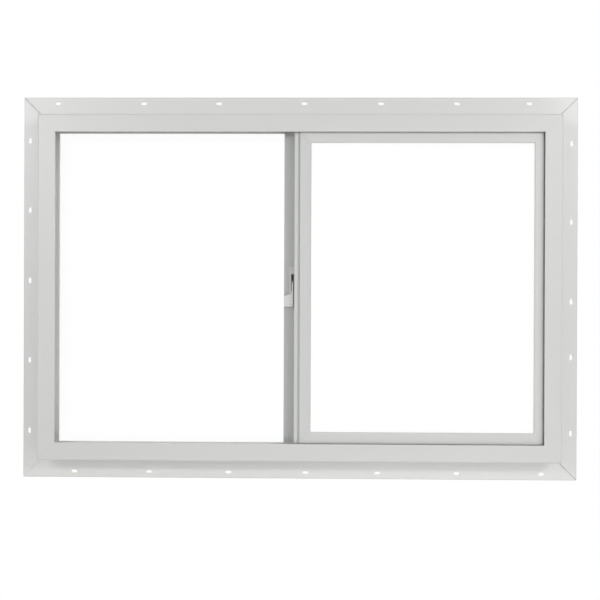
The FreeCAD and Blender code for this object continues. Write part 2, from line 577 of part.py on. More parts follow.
def latch_slide():
    """Thumb slide: a grooved thumb piece and stem, a neck through the slot and a keeper behind."""
    back = HOUSING_FRONT - RUNNING_GAP
    front = back - SLIDE_DEPTH
    thumb_left = SLIDE_RIGHT - THUMB_WIDTH
    thumb_top = SLIDE_BOTTOM + THUMB_HEIGHT
    shoulder = thumb_left + THUMB_SHOULDER
    stem_left = SLIDE_RIGHT - STEM_WIDTH
    body = plate([(SLIDE_RIGHT, MIDDLE + SLIDE_BOTTOM, THUMB_ROUND), (SLIDE_RIGHT, MIDDLE + SLIDE_TOP, 0),
                  (stem_left + STEM_FLARE / 2, MIDDLE + SLIDE_TOP, 0),
                  (stem_left - STEM_FLARE / 2, MIDDLE + thumb_top + THUMB_SLOPE, 0),
                  (shoulder, MIDDLE + thumb_top + THUMB_SLOPE, 0), (thumb_left, MIDDLE + thumb_top, 0),
                  (thumb_left, MIDDLE + SLIDE_BOTTOM, THUMB_ROUND)], front, back)
    first = MIDDLE + SLIDE_BOTTOM + THUMB_HEIGHT / 2 - (THUMB_GROOVES - 1) * THUMB_GROOVE_PITCH / 2
    groove_length = THUMB_WIDTH - STEM_WIDTH
    for index in range(THUMB_GROOVES):
        start = Vector(thumb_left - CUT_OVERSHOOT, front - FIN_SETBACK, first + index * THUMB_GROOVE_PITCH)
        body = body.cut(Part.makeCylinder(THUMB_GROOVE_RADIUS, groove_length, start, Vector(1, 0, 0)))
    neck_left = SLIDE_RIGHT - NECK_WIDTH
    neck_bottom = MIDDLE + LATCH_SLOT_BOTTOM + RUNNING_GAP
    neck_top = neck_bottom + NECK_HEIGHT
    keeper_front = FLANGE_BACK + RUNNING_GAP
    neck = box(neck_left, SLIDE_RIGHT, back, keeper_front, neck_bottom, neck_top)
    keeper_back = keeper_front + KEEPER_THICKNESS
    keeper_left = (neck_left + SLIDE_RIGHT - KEEPER_WIDTH) / 2
    keeper = box(keeper_left, SLIDE_RIGHT, keeper_front, keeper_back, neck_bottom, neck_top)
    catch = box(neck_left, SLIDE_RIGHT, keeper_back, keeper_back + CATCH_LENGTH,
                neck_bottom, neck_bottom + CATCH_HEIGHT)
    return body.fuse([neck, keeper, catch]).removeSplitter()


def all_nodes():
    """Every named piece of the window."""
    nodes = {"frame_head": frame_member("head"), "frame_sill": frame_member("sill"),
             "frame_jamb_left": frame_member("left"), "frame_jamb_right": frame_member("right"),
             "fixed_meeting_stile": fixed_meeting_stile(), **fixed_lite(), **sash_members(), **sash_glazing(),
             **sash_seals(), "latch_housing": latch_housing(), "latch_slide": latch_slide(),
             "sash_glide_left": sash_glide(SASH_LEFT + GLIDE_FROM_CORNER),
             "sash_glide_right": sash_glide(SASH_RIGHT - GLIDE_FROM_CORNER)}
    return nodes


os.makedirs("parts", exist_ok=True)
for name, shape in all_nodes().items():
    shape.exportStep(f"parts/{name}.step")
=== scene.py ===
"""Looks of a white vinyl sliding window: its finishes, corner welds, brush seals, screws and a white studio.

Laid out as an add-on and run as a script. Metres, in the window's own frame: X along the window,
Y from the room to the outside, Z up.
"""
import math

import bpy
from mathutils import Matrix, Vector


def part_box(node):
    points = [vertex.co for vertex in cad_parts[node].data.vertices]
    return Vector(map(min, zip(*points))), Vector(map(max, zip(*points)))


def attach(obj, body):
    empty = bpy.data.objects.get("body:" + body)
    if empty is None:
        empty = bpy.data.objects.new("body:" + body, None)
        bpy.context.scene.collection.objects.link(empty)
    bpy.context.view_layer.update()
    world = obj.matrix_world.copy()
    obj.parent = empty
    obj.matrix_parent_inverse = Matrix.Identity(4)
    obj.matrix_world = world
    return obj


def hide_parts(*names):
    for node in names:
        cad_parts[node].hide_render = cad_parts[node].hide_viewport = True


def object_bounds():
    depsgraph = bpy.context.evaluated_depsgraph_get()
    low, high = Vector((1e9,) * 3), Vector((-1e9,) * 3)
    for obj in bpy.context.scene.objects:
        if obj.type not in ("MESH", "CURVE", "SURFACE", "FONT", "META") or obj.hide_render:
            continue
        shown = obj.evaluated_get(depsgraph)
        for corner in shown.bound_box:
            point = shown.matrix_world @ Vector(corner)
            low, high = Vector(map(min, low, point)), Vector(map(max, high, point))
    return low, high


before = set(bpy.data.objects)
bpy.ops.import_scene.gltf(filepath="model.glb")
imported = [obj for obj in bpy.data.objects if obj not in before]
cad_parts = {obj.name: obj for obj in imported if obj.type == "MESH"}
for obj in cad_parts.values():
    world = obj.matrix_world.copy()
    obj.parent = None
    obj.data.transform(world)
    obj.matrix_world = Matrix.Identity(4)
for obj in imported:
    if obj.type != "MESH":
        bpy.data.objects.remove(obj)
CAD_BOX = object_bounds()

bl_info = {
    "name": "Sliding Window Looks",
    "version": (1, 0, 0),
    "blender": (4, 5, 0),
    "location": "View3D > Sidebar > Window",
    "description": "Finishes and small pieces of a white vinyl sliding window, and its studio",
    "category": "Object",
}

# Members whose length runs along X, and those whose length runs along Z
FRAME_LEVEL = ("frame_head", "frame_sill")
FRAME_UPRIGHT = ("frame_jamb_left", "frame_jamb_right")
SASH_LEVEL = ("sash_top_rail", "sash_bottom_rail")
SASH_UPRIGHT = ("sash_jamb_stile",)
FLANGED = ("sash_meeting_stile",)
BEADS_LEVEL = ("fixed_bead_head", "fixed_bead_sill", "sash_bead_top", "sash_bead_bottom")
BEADS_UPRIGHT = ("fixed_bead_jamb", "sash_bead_jamb", "sash_bead_meeting", "fixed_meeting_stile")
PANES = ("fixed_glass_inner", "fixed_glass_outer", "sash_glass_inner", "sash_glass_outer")
SPACERS = ("fixed_glass_spacer", "sash_glass_spacer")
TAPES = ("fixed_glazing_tape", "sash_glazing_tape")
BLOCKS = ("fixed_setting_blocks", "sash_setting_blocks")
GLIDES = ("sash_glide_left", "sash_glide_right")
LATCH_HOUSING = ("latch_housing",)
LATCH_SLIDE = ("latch_slide",)
PILES = ("sash_pile_top", "sash_pile_bottom", "sash_pile_jamb")

# Places read from the frame: the fin's edges, the frame's face inside them, and the sash's edges.
# The origin lies on the fin's room side, half way down its lower strip, and the fin is 1.8 mm thick.
FIN_LOW, FIN_HIGH = CAD_BOX
FIN_WIDTH = -2 * FIN_LOW[2]
FIN_BACK = 0.0018
FRAME_HALF_WIDTH = FIN_HIGH[0] - FIN_WIDTH
FRAME_HALF_HEIGHT = (FIN_HIGH[2] - FIN_LOW[2]) / 2 - FIN_WIDTH
FRAME_MIDDLE = Vector((0, 0, (FIN_HIGH[2] + FIN_LOW[2]) / 2))
TOP_RAIL_LOW, TOP_RAIL_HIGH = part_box("sash_top_rail")
BOTTOM_RAIL_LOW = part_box("sash_bottom_rail")[0]
SASH_LEFT = TOP_RAIL_LOW.x
SASH_MIDDLE = Vector(((SASH_LEFT + TOP_RAIL_HIGH.x) / 2, 0, (BOTTOM_RAIL_LOW.z + TOP_RAIL_HIGH.z) / 2))
SASH_HALF_WIDTH = (TOP_RAIL_HIGH.x - SASH_LEFT) / 2
SASH_HALF_HEIGHT = (TOP_RAIL_HIGH.z - BOTTOM_RAIL_LOW.z) / 2

# Distances over which a painted tone changes: left of the sash's edge to its flange (painted shade),
# and past the frame's face to the fin (painted light)
FLANGE_SHADE_BLEND = (0.0006, 0.0002)
FIN_BLEND = (0.0001, 0.0006)

# Scales of the textures, along X, Y and Z where there are three, in waves to the metre
DIE_LINES = {"X": (3.0, 900.0, 900.0), "Z": (900.0, 900.0, 3.0)}
VINYL_PEEL = (1500.0, 1500.0, 1500.0)
VINYL_CLOUDS = (7.0, 7.0, 7.0)
WELD_SPECKS = (420.0, 420.0, 420.0)
GLASS_FILM = (14.0, 14.0, 9.0)
ROLL_LINES = (60.0, 2600.0, 60.0)
BREATHER_HOLES = 420.0
FOAM_CELLS = 1800.0
RUBBER_GRAIN = (900.0, 900.0, 900.0)
SPARK_TEXTURE = (3200.0, 3200.0, 3200.0)
FLOW_MARKS = (45.0, 45.0, 20.0)
PILE_FIBRES = (2400.0, 500.0, 2400.0)
ZINC_MOTTLE = (700.0, 700.0, 700.0)
FLOOR_GRAIN = (3.0, 3.0, 3.0)

# Middle value of a noise texture
NOISE_MIDDLE = 0.5

# Depths of the fine relief, in metres
VINYL_RELIEF = 0.00006
WELD_RELIEF = 0.0002
SPACER_RELIEF = 0.0001
TAPE_RELIEF = 0.0002
RUBBER_RELIEF = 0.0001
PLASTIC_RELIEF = 0.00004
ZINC_RELIEF = 0.00003

# Refractive indices
VINYL_IOR = 1.53
GLASS_IOR = 1.52
PLASTIC_IOR = 1.48

# Second tones that the textures bring out, and those that are a share of the first tone
# Dark inside of the spacer's breather holes: painted shade
SPACER_HOLE_SHADE = (0.18, 0.18, 0.19)
TAPE_SHADE = (0.4, 0.41, 0.41)
RUBBER_BLOOM = (0.09, 0.09, 0.09)
ZINC_SHADE = (0.42, 0.42, 0.42)
FLOW_SHARE = 0.72
PILE_TIP_SHARE = 1.35
FLOOR_DARK = (0.82, 0.82, 0.82)
FLOOR_PALE = (0.86, 0.86, 0.86)
WHITE = (1.0, 1.0, 1.0)

# Floor: distances from its middle over which it turns white to look at, and how white it is before that
FLOOR_FADE = (0.2, 0.7)
FLOOR_NEAR_WHITE = 0.75

# Weld flash: rounding as a share of its rise, facets of the rounding, cuts along it, evenness of its ripple
WELD_ROUNDING = 0.9
WELD_FACETS = 3
WELD_CUTS = 28
WELD_EVENNESS = 0.6
WELD_SMOOTHING = math.radians(40)

# Brush seal: facets of the backing's edges, a tuft's sides, and its radii as shares of the room for a row
BACKING_FACETS = 2
TUFT_SIDES = 5
TUFT_ROOT_SHARE = 0.42
TUFT_TIP_SHARE = 0.2

# Screw: sides and dome of the head, and length of its recess's arms as a share of its radius
HEAD_SIDES = 40
DOME_SHARE = 0.6
DOME_FACETS = 5
RECESS_SHARE = 1.1
HEAD_SMOOTHING = math.radians(35)

# Width of the camera's sensor, in millimetres
SENSOR_WIDTH = 36.0

# Sockets of the Mix node when it mixes colours
MIX_FACTOR = 0
MIX_A = 6
MIX_B = 7
MIX_RESULT = 2


class WINDOW_PG_vinyl(bpy.types.PropertyGroup):
    """White vinyl of the frame and the sash"""

    colour: bpy.props.FloatVectorProperty(
        name="Colour", description="Colour of the clean vinyl", subtype="COLOR", default=(0.70, 0.705, 0.69))
    seam_colour: bpy.props.FloatVectorProperty(
        name="Seam colour", description="Colour of the line that is left at a cleaned weld", subtype="COLOR",
        default=(0.40, 0.405, 0.395))
    # The meeting stile's slightly darker tone is painted shade on the same white vinyl
    stile_shaded_colour: bpy.props.FloatVectorProperty(
        name="Stile colour", description="Colour of the meeting stile, a touch greyer than the rest",
        subtype="COLOR", default=(0.66, 0.668, 0.655))
    # The fin's paler tone is painted light, standing for light that shows through the thin fin
    fin_painted_light_colour: bpy.props.FloatVectorProperty(
        name="Fin colour", description="Colour of the nail fin, thin enough for light to show through",
        subtype="COLOR", default=(0.805, 0.81, 0.79))
    # Darker tone of the recessed flange: painted shade of its recess behind the sash's face
    flange_shade_colour: bpy.props.FloatVectorProperty(
        name="Flange colour", description="Colour of the greyer vinyl of the sash's flange", subtype="COLOR",
        default=(0.49, 0.507, 0.49))
    roughness: bpy.props.FloatProperty(
        name="Roughness", description="Roughness between die lines", subtype="FACTOR", min=0, max=1,
        default=0.36)
    seam_width: bpy.props.FloatProperty(
        name="Seam width", description="Half width of the line at a mitre", unit="LENGTH", default=0.0006)
    # A darker line along the fin's outer edge: painted shade
    edge_width: bpy.props.FloatProperty(
        name="Edge width", description="Width of the worn line along the fin's edge", unit="LENGTH",
        default=0.0014)


class WINDOW_PG_glazing(bpy.types.PropertyGroup):
    """Glass, spacer bars, tape and setting blocks"""

    glass: bpy.props.FloatVectorProperty(
        name="Glass", description="Tint of one pane", subtype="COLOR", default=(0.997, 1.0, 0.998))
    coating: bpy.props.FloatProperty(
        name="Coating", description="Share of plain glass's reflection that its coating leaves",
        subtype="FACTOR", min=0, max=1, default=0.2)
    spacer: bpy.props.FloatVectorProperty(
        name="Spacer", description="Colour of the mill finish spacer bar", subtype="COLOR",
        default=(0.72, 0.73, 0.74))
    tape: bpy.props.FloatVectorProperty(
        name="Tape", description="Colour of the foam glazing tape", subtype="COLOR",
        default=(0.62, 0.63, 0.63))
    block: bpy.props.FloatVectorProperty(
        name="Block", description="Colour of the setting blocks' rubber", subtype="COLOR",
        default=(0.03, 0.03, 0.032))


class WINDOW_PG_hardware(bpy.types.PropertyGroup):
    """Latch, glides and screws"""

    latch: bpy.props.FloatVectorProperty(
        name="Latch", description="Colour of the latch's thumb slide", subtype="COLOR",
        default=(0.75, 0.755, 0.74))
    housing: bpy.props.FloatVectorProperty(
        name="Housing", description="Colour of the latch's housing", subtype="COLOR",
        default=(0.60, 0.615, 0.60))
    nylon: bpy.props.FloatVectorProperty(
        name="Nylon", description="Colour of the glides", subtype="COLOR", default=(0.70, 0.69, 0.64))
    zinc: bpy.props.FloatVectorProperty(
        name="Zinc", description="Colour of the plated screws", subtype="COLOR", default=(0.66, 0.67, 0.70))
    head_radius: bpy.props.FloatProperty(
        name="Head radius", description="Radius of a screw's pan head", unit="LENGTH", default=0.0039)
    head_height: bpy.props.FloatProperty(
        name="Head height", description="Height of a screw's pan head", unit="LENGTH", default=0.0024)
    recess_width: bpy.props.FloatProperty(
        name="Recess width", description="Width of the cross recess's arms", unit="LENGTH", default=0.0011)


class WINDOW_PG_welds(bpy.types.PropertyGroup):
    """Weld flash left on the fin's corners: top left, top right, bottom left, bottom right"""

    widths: bpy.props.FloatVectorProperty(
        name="Widths", description="Width of the flash across each mitre", size=4, unit="LENGTH",
        default=(0.0028, 0.0011, 0.0010, 0.0011))
    dirt: bpy.props.FloatVectorProperty(
        name="Dirt", description="How grey the flash is at each corner", size=4,
        default=(0.55, 0.95, 0.0, 0.95))
    rise: bpy.props.FloatProperty(
        name="Rise", description="How far the flash stands off the fin", unit="LENGTH", default=0.0004)
    ripple: bpy.props.FloatProperty(
        name="Ripple", description="Unevenness of the flash", unit="LENGTH", default=0.00025)


class WINDOW_PG_brushes(bpy.types.PropertyGroup):
    """Brush seals behind the sash"""

    colour: bpy.props.FloatVectorProperty(
        name="Colour", description="Colour of the pile", subtype="COLOR", default=(0.42, 0.43, 0.44))
    backing: bpy.props.FloatProperty(
        name="Backing", description="Thickness of the woven backing", unit="LENGTH", default=0.0009)
    pitch: bpy.props.FloatProperty(
        name="Pitch", description="Distance between tufts along the strip", unit="LENGTH", default=0.0011)
    rows: bpy.props.IntProperty(name="Rows", description="Tufts across the strip", min=1, default=5)
    splay: bpy.props.FloatProperty(
        name="Splay", description="How far the tufts' tips wander", unit="LENGTH", default=0.0006)


class WINDOW_PG_stage(bpy.types.PropertyGroup):
    """White studio, lights and camera"""

    camera_place: bpy.props.FloatVectorProperty(
        name="Camera place", description="Where the camera stands", subtype="XYZ", unit="LENGTH",
        default=(0.0287, -1.5978, 0.3002))
    camera_turn: bpy.props.FloatVectorProperty(
        name="Camera turn", description="Turn of the camera about X, Y and Z", subtype="EULER",
        unit="ROTATION", default=(math.radians(89.872), math.radians(-0.221), math.radians(0.974)))
    lens: bpy.props.FloatProperty(
        name="Lens", description="Focal length of the camera, in millimetres", default=54.26)
    floor_drop: bpy.props.FloatProperty(
        name="Floor drop", description="Height of the fin's lower edge over the floor", unit="LENGTH",
        default=0.45)
    floor_size: bpy.props.FloatProperty(
        name="Floor size", description="Length of the floor's sides", unit="LENGTH", default=40.0)
    key_power: bpy.props.FloatProperty(
        name="Key power", description="Power of each small soft box high on the left and right, in watts",
        default=7.8)
    wide_power: bpy.props.FloatProperty(
        name="Wide power", description="Power of the wide soft box over the camera, in watts", default=2.55)
    left_power: bpy.props.FloatProperty(
        name="Left power", description="Power of the tall soft box on the left, in watts", default=6.1)
    right_power: bpy.props.FloatProperty(
        name="Right power", description="Power of the tall soft box on the right, in watts", default=7.0)
    fill_power: bpy.props.FloatProperty(
        name="Fill power", description="Power of the low soft box under the camera, in watts", default=1.3)
    top_power: bpy.props.FloatProperty(
        name="Top power", description="Power of the soft box over the window, in watts", default=2.15)
    back_power: bpy.props.FloatProperty(
        name="Back power", description="Power of the soft box behind the window, in watts", default=18.0)
    room: bpy.props.FloatProperty(name="Room", description="Light from the room around", default=0.38)
    backdrop: bpy.props.FloatProperty(
        name="Backdrop", description="Light from the backdrop behind the window", default=0.75)


class Wire:
    """An output socket of a node, on which Python's arithmetic adds Math nodes."""

    def __init__(self, nodes, socket):
        self.nodes = nodes
        self.socket = socket

    def output(self, name):
        """Another output of the same node."""
        return Wire(self.nodes, self.socket.node.outputs[name])

    def math(self, operation, *values):
        """A Math node on some numbers or wires."""
        return self.nodes.add("ShaderNodeMath", {"operation": operation}, dict(enumerate(values)))

    def __add__(self, other):
        return self.math("ADD", self, other)

    def __radd__(self, other):
        return self.math("ADD", other, self)

    def __sub__(self, other):
        return self.math("SUBTRACT", self, other)

    def __rsub__(self, other):
        return self.math("SUBTRACT", other, self)

    def __mul__(self, other):
        return self.math("MULTIPLY", self, other)

    def __rmul__(self, other):
        return self.math("MULTIPLY", other, self)

    def __truediv__(self, other):
        return self.math("DIVIDE", self, other)

    def __rtruediv__(self, other):
        return self.math("DIVIDE", other, self)

    def __abs__(self):
        return self.math("ABSOLUTE", self)

    def larger(self, other):
        """The larger of two values."""
        return self.math("MAXIMUM", self, other)

    def swing(self, amount):
        """A noise's rise and fall about its middle, times an amount."""
        return (self - NOISE_MIDDLE) * amount

    def ramp(self, start, end, low=0.0, high=1.0):
        """A smooth step from low at start to high at end."""
        values = {"Value": self, "From Min": start, "From Max": end, "To Min": low, "To Max": high}
        return self.nodes.add("ShaderNodeMapRange", {"interpolation_type": "SMOOTHSTEP"}, values)


class Nodes:
    """The node tree of one material or of the world."""

    def __init__(self, owner):
        owner.use_nodes = True
        self.tree = owner.node_tree
        self.tree.nodes.clear()

    def add(self, kind, settings, inputs, output=0):
        """Adds a node, sets it up, fills its inputs with values or links, and gives one of its outputs."""
        node = self.tree.nodes.new(kind)
        for name, value in settings.items():
            setattr(node, name, value)
        for name, value in inputs.items():
            if isinstance(value, Wire):
                self.tree.links.new(value.socket, node.inputs[name])
            else:
                node.inputs[name].default_value = value
        return Wire(self, node.outputs[output]) if node.outputs else None

    def place(self):
        """The point's place in the piece's own frame, which is the window's."""
        return self.add("ShaderNodeTexCoord", {}, {}, "Object")

    def axes(self, vector):
        """The three numbers of a vector."""
        first = self.add("ShaderNodeSeparateXYZ", {}, {0: vector})
        return first, first.output("Y"), first.output("Z")

    def noise(self, place, scale, detail=2.0, roughness=0.5):
        """Noise from 0 to 1, stretched by a scale for each axis."""
        mapped = self.add("ShaderNodeMapping", {}, {"Vector": place, "Scale": scale})
        return self.add("ShaderNodeTexNoise", {}, {"Vector": mapped, "Scale": 1.0, "Detail": detail,
                                                   "Roughness": roughness})

    def cells(self, place, scale):
        """Distance from the middle of the nearest of many scattered cells."""
        return self.add("ShaderNodeTexVoronoi", {}, {"Vector": place, "Scale": scale})

    def mix(self, factor, first, second):
        """A colour between two."""
        inputs = {MIX_FACTOR: factor, MIX_A: first, MIX_B: second}
        return self.add("ShaderNodeMix", {"data_type": "RGBA"}, inputs, MIX_RESULT)

    def bump(self, height, distance):
        """A normal from a height, for fine relief."""
        return self.add("ShaderNodeBump", {}, {"Height": height, "Distance": distance})

    def principled(self, inputs):
        """The main shader."""
        return self.add("ShaderNodeBsdfPrincipled", {}, inputs)

    def mix_shaders(self, factor, first, second):
        """A shader between two."""
        return self.add("ShaderNodeMixShader", {}, {0: factor, 1: first, 2: second})

    def show(self, shader, kind="ShaderNodeOutputMaterial"):
        """Sends a shader to the output."""
        self.add(kind, {}, {"Surface": shader})


def colour(value):
    """A colour of three numbers as the four that a socket takes."""
    return (*value, 1.0)


def shaded(value, share):
    """A colour times a share, as a socket takes it."""
    return colour([part * share for part in value])


def new_finish(name):
    """A new material and its nodes."""
    material = bpy.data.materials.new(name)
    return material, Nodes(material)


def dress(names, material):
    """Puts one material on all slots of some of the frame's nodes."""
    for name in names:
        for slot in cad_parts[name].material_slots:
            slot.material = material


def from_mitre(x, z, middle, half_width, half_height):
    """Distance from the nearest mitre of a rectangle, where its sides meet at 45 degrees."""
    across = abs(x - middle.x) - half_width
    along = abs(z - middle.z) - half_height
    return abs(across - along) / math.sqrt(2)


def vinyl_finish(name, length_axis, mitred=None, flanged=False):
    """White vinyl with die lines and welds; painted shade on the stile, flange and fin edge, painted light on
    the fin.
    """
    look = bpy.context.scene.window_vinyl
    material, nodes = new_finish(name)
    place = nodes.place()
    x, _, z = nodes.axes(place)
    lines = nodes.noise(place, DIE_LINES[length_axis], detail=3.0)
    peel = nodes.noise(place, VINYL_PEEL, detail=1.0)
    cloud = nodes.noise(place, VINYL_CLOUDS, detail=3.0)
    # The meeting stile starts from a darker copy of the vinyl's colour: painted shade
    clean = look.stile_shaded_colour if flanged else look.colour
    seam_tone = colour(look.seam_colour)
    tone = nodes.mix(cloud.ramp(0.3, 0.7, high=0.035), colour(clean), seam_tone)
    # Left of the sash's edge the flange takes a darker tone: painted shade of its recess
    if flanged:
        blend_start, blend_end = (SASH_LEFT - distance for distance in FLANGE_SHADE_BLEND)
        on_shaded_flange = x.ramp(blend_start, blend_end, 1.0, 0.0)
        tone = nodes.mix(on_shaded_flange, tone, colour(look.flange_shade_colour))
    height = lines * 0.5 + peel * 0.3
    roughness = look.roughness + lines.swing(0.12) + cloud.swing(0.08)
    if mitred:
        seam = from_mitre(x, z, *mitred).ramp(0.0, look.seam_width, 1.0, 0.0)
        past_face = (abs(x) - FRAME_HALF_WIDTH).larger(abs(z - FRAME_MIDDLE.z) - FRAME_HALF_HEIGHT)
        on_fin = past_face.ramp(*FIN_BLEND)
        # Past the frame's face the fin takes its paler tone: painted light
        tone = nodes.mix(on_fin, tone, colour(look.fin_painted_light_colour))
        seam_share = on_fin * 0.35 + 0.16
        tone = nodes.mix(seam * seam_share, tone, seam_tone)
        # A darker line along the fin's outer edge: painted shade
        painted_edge_shade = past_face.ramp(FIN_WIDTH - look.edge_width, FIN_WIDTH - look.edge_width / 3)
        tone = nodes.mix(painted_edge_shade * 0.5, tone, seam_tone)
        height = height - seam * 1.2
        roughness = roughness + seam * 0.15
    shader = nodes.principled({"Base Color": tone, "Roughness": roughness, "IOR": VINYL_IOR,
                               "Normal": nodes.bump(height, VINYL_RELIEF)})
    nodes.show(shader)
    return material


def weld_finish(name, dirt):
    """Weld flash, scraped back and greyed by what stays in it."""
    look = bpy.context.scene.window_vinyl
    material, nodes = new_finish(name)
    specks = nodes.noise(nodes.place(), WELD_SPECKS, detail=4.0, roughness=0.7)
    grey = specks.ramp(0.32, 0.62, low=0.35) * dirt
    # The flash starts from the fin's tone, which holds painted light
    tone = nodes.mix(grey, colour(look.fin_painted_light_colour), colour(look.seam_colour))
    shader = nodes.principled({"Base Color": tone, "Roughness": 0.5 + specks.swing(0.3), "IOR": VINYL_IOR,
                               "Normal": nodes.bump(specks, WELD_RELIEF)})
    nodes.show(shader)
    return material


def glass_finish(name):
    """Clear coated glass that lets lamps through, with the faintest film of dust."""
    look = bpy.context.scene.window_glazing
    material, nodes = new_finish(name)
    film = nodes.noise(nodes.place(), GLASS_FILM, detail=4.0)
    glass = nodes.principled({"Base Color": colour(look.glass), "Roughness": film.ramp(0.45, 0.8, high=0.03),
                              "IOR": GLASS_IOR, "Transmission Weight": 1.0,
                              "Specular Tint": shaded(WHITE, look.coating)})
    clear = nodes.add("ShaderNodeBsdfTransparent", {}, {"Color": colour(look.glass)})
    shadow = nodes.add("ShaderNodeLightPath", {}, {}, "Is Shadow Ray")
    nodes.show(nodes.mix_shaders(shadow, glass, clear))
    return material


def spacer_finish(name):
    """Mill finish aluminium with roll lines and small breather holes, painted dark as the shade inside them.
    """
    look = bpy.context.scene.window_glazing
    material, nodes = new_finish(name)
    place = nodes.place()
    lines = nodes.noise(place, ROLL_LINES)
    holes = nodes.cells(place, BREATHER_HOLES).ramp(0.16, 0.24, 1.0, 0.0)
    # The breather holes darken the bar: painted shade inside the holes
    tone = nodes.mix(holes * 0.6 + lines.swing(0.2), colour(look.spacer), colour(SPACER_HOLE_SHADE))
    shader = nodes.principled({"Base Color": tone, "Metallic": 1.0, "Roughness": 0.34 + lines.swing(0.2),
                               "Normal": nodes.bump(lines * 0.3 - holes, SPACER_RELIEF)})
    nodes.show(shader)
    return material


def tape_finish(name):
    """Closed cell foam tape."""
    look = bpy.context.scene.window_glazing
    material, nodes = new_finish(name)
    cells = nodes.cells(nodes.place(), FOAM_CELLS)
    tone = nodes.mix(cells.ramp(0.0, 0.7, high=0.3), colour(look.tape), colour(TAPE_SHADE))
    shader = nodes.principled({"Base Color": tone, "Roughness": 0.82 + cells * 0.12,
                               "Normal": nodes.bump(cells, TAPE_RELIEF)})
    nodes.show(shader)
    return material


def rubber_finish(name):
    """Dull black rubber of the setting blocks, with a slight bloom."""
    look = bpy.context.scene.window_glazing
    material, nodes = new_finish(name)
    grain = nodes.noise(nodes.place(), RUBBER_GRAIN, detail=3.0)
    tone = nodes.mix(grain.ramp(0.4, 0.75, high=0.35), colour(look.block), colour(RUBBER_BLOOM))
    shader = nodes.principled({"Base Color": tone, "Roughness": 0.7 + grain.swing(0.3),
                               "Normal": nodes.bump(grain, RUBBER_RELIEF)})
    nodes.show(shader)
    return material


def moulded_finish(name, base, roughness, shade):
    """Moulded plastic with a fine spark texture and a slight flow pattern."""
    material, nodes = new_finish(name)
    place = nodes.place()
    spark = nodes.noise(place, SPARK_TEXTURE)
    flow = nodes.noise(place, FLOW_MARKS, detail=3.0)
    tone = nodes.mix(flow.ramp(0.35, 0.75, high=shade), colour(base), shaded(base, FLOW_SHARE))
    gloss = roughness + flow.swing(0.1) + spark.swing(0.08)
    shader = nodes.principled({"Base Color": tone, "Roughness": gloss, "IOR": PLASTIC_IOR,
                               "Normal": nodes.bump(spark, PLASTIC_RELIEF)})
    nodes.show(shader)
    return material


def pile_finish(name):
    """Grey polypropylene pile, with paler fibres among the rest."""
    look = bpy.context.scene.window_brushes
    material, nodes = new_finish(name)
    fibres = nodes.noise(nodes.place(), PILE_FIBRES)
    tone = nodes.mix(fibres.ramp(0.3, 0.7), colour(look.colour), shaded(look.colour, PILE_TIP_SHARE))
    shader = nodes.principled({"Base Color": tone, "Roughness": 0.8 + fibres.swing(0.2),
                               "Sheen Weight": 0.4})
    nodes.show(shader)
    return material


def zinc_finish(name):
    """Bright zinc plate, mottled as it comes from the barrel."""
    look = bpy.context.scene.window_hardware
    material, nodes = new_finish(name)
    mottle = nodes.noise(nodes.place(), ZINC_MOTTLE, detail=3.0)
    tone = nodes.mix(mottle.ramp(0.35, 0.7, high=0.5), colour(look.zinc), colour(ZINC_SHADE))
    shader = nodes.principled({"Base Color": tone, "Metallic": 1.0, "Roughness": 0.3 + mottle.swing(0.25),
                               "Normal": nodes.bump(mottle, ZINC_RELIEF)})
    nodes.show(shader)
    return material


def deselect():
    """Leaves edit mode and nothing selected."""
    if bpy.context.object and bpy.context.object.mode != "OBJECT":
        bpy.ops.object.mode_set(mode="OBJECT")
    bpy.ops.object.select_all(action="DESELECT")


def take(piece):
    """Makes one piece the only one selected, and active."""
    deselect()
    piece.select_set(True)
    bpy.context.view_layer.objects.active = piece


def named(name):
    """Names the object that an operator has just added."""
    piece = bpy.context.object
    piece.name = name
    piece.data.name = name
    return piece


def bake_place(piece):
    """Moves a piece's place, turn and scale into its mesh."""
    take(piece)
    bpy.ops.object.transform_apply(location=True, rotation=True, scale=True)


def pick(piece, mode, wanted):
    """Opens a piece in edit mode with only those vertices or edges selected that wanted accepts."""
    take(piece)
    bpy.ops.object.mode_set(mode="EDIT")
    bpy.ops.mesh.select_mode(type=mode)
    bpy.ops.mesh.select_all(action="DESELECT")
    bpy.ops.object.mode_set(mode="OBJECT")
    parts = {"VERT": piece.data.vertices, "EDGE": piece.data.edges}[mode]
    for part in parts:
        part.select = wanted(part)
    bpy.ops.object.mode_set(mode="EDIT")


def finish_piece(piece, material, body):
    """Gives a finished piece its material and sets it on its body."""
    deselect()
    piece.data.materials.clear()
    piece.data.materials.append(material)
    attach(piece, body)


